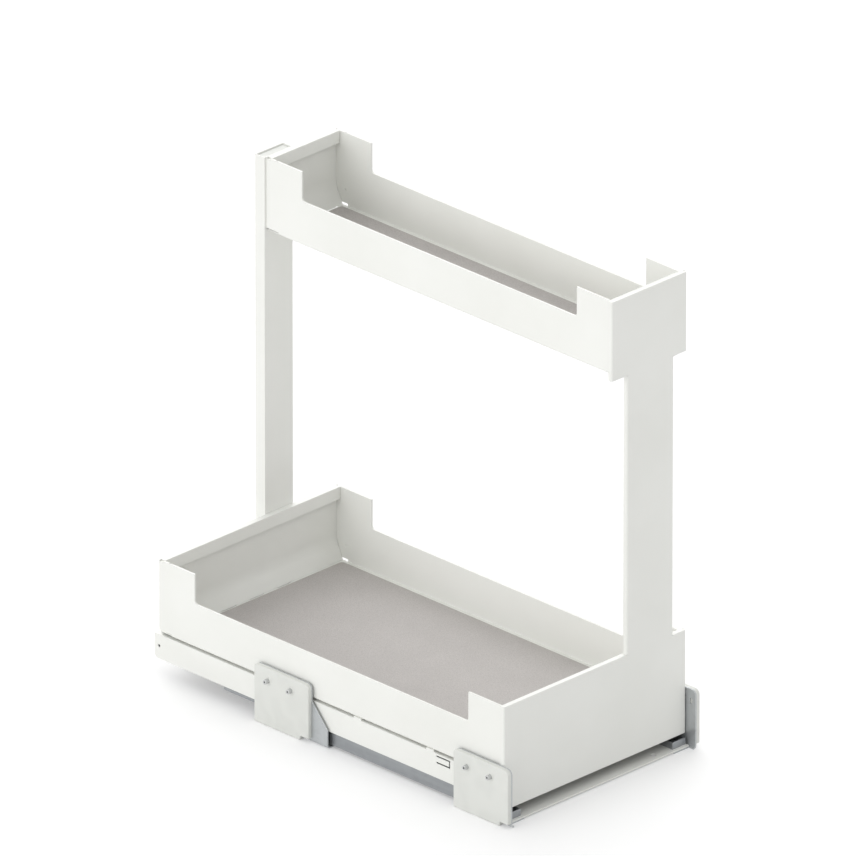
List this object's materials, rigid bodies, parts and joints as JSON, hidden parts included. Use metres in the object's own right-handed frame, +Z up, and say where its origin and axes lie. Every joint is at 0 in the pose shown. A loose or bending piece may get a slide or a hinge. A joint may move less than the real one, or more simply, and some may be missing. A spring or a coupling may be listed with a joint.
{
  "type": "under-sink pull-out",
  "caption": "Under-sink pull-out: white sheet-steel frame with a wide lower tray and a narrow upper tray, on ball runners with brackets that stand on the cabinet floor.",
  "frame": {"origin": "on the cabinet floor, under the middle of the overall box", "axes": "+X to the right seen from the front, +Y to the back of the cabinet, +Z up"},
  "size_m": [0.278, 0.5084, 0.5142],
  "materials": {
    "white_coat": "smooth satin white powder coat on folded sheet steel",
    "white_plastic": "matt white moulded plate",
    "zinc_steel": "rolled galvanised steel, dull",
    "bright_zinc": "rolled galvanised steel, brighter",
    "dark_zinc_steel": "pressed steel end plate, dull",
    "bearing_steel": "polished bearing balls",
    "carriage_plastic": "moulded off-white carriage",
    "coupling_plastic": "moulded dark grey block",
    "lever_plastic": "moulded mid grey lever",
    "grey_mat": "thin grey anti-slip mat with a fine grain"
  },
  "bodies": {
    "fixed_set": {"cabinet_profile_l": "zinc_steel", "cabinet_profile_r": "zinc_steel", "bracket_front_l": "zinc_steel", "spacer_front_l": "white_plastic", "bracket_front_r": "zinc_steel", "spacer_front_r": "white_plastic", "bracket_rear_l": "zinc_steel", "spacer_rear_l": "white_plastic", "bracket_rear_r": "zinc_steel", "spacer_rear_r": "white_plastic", "locating_pins": "zinc_steel", "tie_plate_front": "white_coat", "tie_plate_rear": "white_coat", "tie_rivets": "bright_zinc"},
    "drawer": {"drawer_profile_l": "bright_zinc", "front_stop_l": "dark_zinc_steel", "catch_hook_l": "zinc_steel", "drawer_profile_r": "bright_zinc", "front_stop_r": "dark_zinc_steel", "catch_hook_r": "zinc_steel"},
    "frame": {"base_rail_l": "white_coat", "coupling_l": "coupling_plastic", "base_rail_r": "white_coat", "coupling_r": "coupling_plastic", "base_cross_front": "white_coat", "base_cross_rear": "white_coat", "front_panel": "white_coat", "rear_post": "white_coat", "post_cap": "white_coat", "lower_tray": "white_coat", "upper_tray": "white_coat", "lower_rear_wall": "white_coat", "upper_rear_wall": "white_coat", "lower_mat": "grey_mat", "upper_mat": "grey_mat", "panel_screws": "bright_zinc", "post_screws": "bright_zinc"},
    "middle_l": {"middle_profile_l": "zinc_steel"},
    "upper_carriage_l": {"upper_carriage_l": "carriage_plastic", "upper_balls_l": "bearing_steel"},
    "lower_carriage_l": {"lower_carriage_l": "carriage_plastic", "lower_balls_l": "bearing_steel"},
    "release_lever_l": {"release_lever_l": "lever_plastic"},
    "middle_r": {"middle_profile_r": "zinc_steel"},
    "upper_carriage_r": {"upper_carriage_r": "carriage_plastic", "upper_balls_r": "bearing_steel"},
    "lower_carriage_r": {"lower_carriage_r": "carriage_plastic", "lower_balls_r": "bearing_steel"},
    "release_lever_r": {"release_lever_r": "lever_plastic"}
  },
  "joints": [
    {"name": "pull_out", "type": "slide", "parent": "fixed_set", "child": "drawer", "axis": [0, -1, 0], "range_m": [0, 0.45]},
    {"name": "middle_l_run", "type": "slide", "parent": "fixed_set", "child": "middle_l", "axis": [0, -1, 0], "range_m": [0, 0.225]},
    {"name": "upper_carriage_l_run", "type": "slide", "parent": "fixed_set", "child": "upper_carriage_l", "axis": [0, -1, 0], "range_m": [0, 0.3375]},
    {"name": "lower_carriage_l_run", "type": "slide", "parent": "fixed_set", "child": "lower_carriage_l", "axis": [0, -1, 0], "range_m": [0, 0.1125]},
    {"name": "middle_r_run", "type": "slide", "parent": "fixed_set", "child": "middle_r", "axis": [0, -1, 0], "range_m": [0, 0.225]},
    {"name": "upper_carriage_r_run", "type": "slide", "parent": "fixed_set", "child": "upper_carriage_r", "axis": [0, -1, 0], "range_m": [0, 0.3375]},
    {"name": "lower_carriage_r_run", "type": "slide", "parent": "fixed_set", "child": "lower_carriage_r", "axis": [0, -1, 0], "range_m": [0, 0.1125]},
    {"name": "frame_lift", "type": "slide", "parent": "drawer", "child": "frame", "axis": [0, 0, 1], "range_m": [0, 0.107]},
    {"name": "release_l", "type": "hinge", "parent": "frame", "child": "release_lever_l", "pos_m": [-0.09525, -0.22565, 0.028], "axis": [0, 0, -1], "range_deg": [0, 15], "stiffness_Nm_per_rad": 0.02},
    {"name": "release_r", "type": "hinge", "parent": "frame", "child": "release_lever_r", "pos_m": [0.09525, -0.22565, 0.028], "axis": [0, 0, 1], "range_deg": [0, 15], "stiffness_Nm_per_rad": 0.02}
  ],
  "couplings": [
    {"joint": "middle_l_run", "follows": "pull_out", "ratio": 0.5},
    {"joint": "upper_carriage_l_run", "follows": "pull_out", "ratio": 0.75},
    {"joint": "lower_carriage_l_run", "follows": "pull_out", "ratio": 0.25},
    {"joint": "middle_r_run", "follows": "pull_out", "ratio": 0.5},
    {"joint": "upper_carriage_r_run", "follows": "pull_out", "ratio": 0.75},
    {"joint": "lower_carriage_r_run", "follows": "pull_out", "ratio": 0.25}
  ]
}
